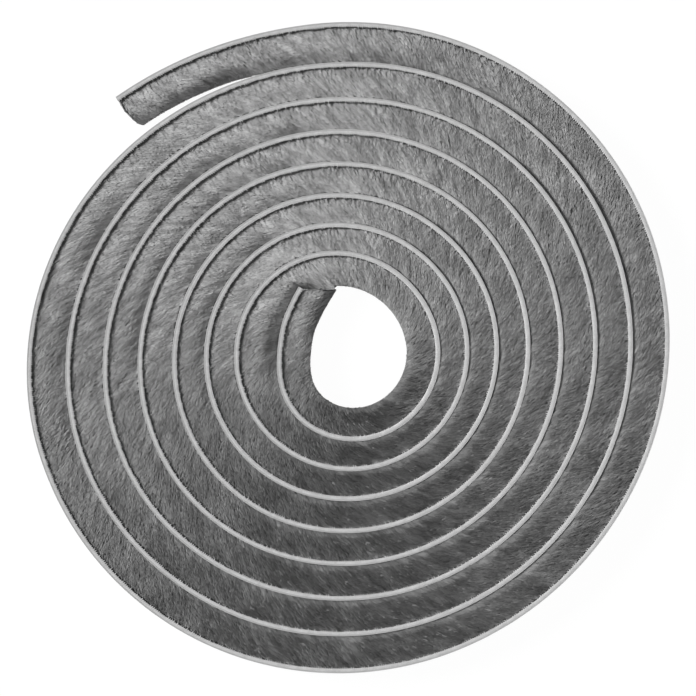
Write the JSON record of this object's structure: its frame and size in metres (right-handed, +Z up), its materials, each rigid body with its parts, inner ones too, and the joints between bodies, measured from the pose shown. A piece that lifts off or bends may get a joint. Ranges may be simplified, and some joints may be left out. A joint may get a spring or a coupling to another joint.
{
  "type": "brush seal strip",
  "caption": "Self-adhesive brush seal strip wound into a flat coil: grey pile on a woven backing with adhesive tape, for sealing the gaps of doors and windows.",
  "frame": {"origin": "under the middle of the coil's outline, on the surface that the coil lies on", "axes": "+Z up, across the strip's width; +X and +Y in the coil's plane, to the right and to the top of the picture"},
  "size_m": [0.168, 0.17, 0.009],
  "materials": {
    "pile_fibre": "dense grey polypropylene pile",
    "backing_weave": "pale grey woven polypropylene",
    "release_liner": "pale grey adhesive tape under its smooth liner"
  },
  "bodies": {
    "root": {"brush_pile": "pile_fibre", "woven_backing": "backing_weave", "adhesive_tape": "release_liner"}
  },
  "joints": []
}
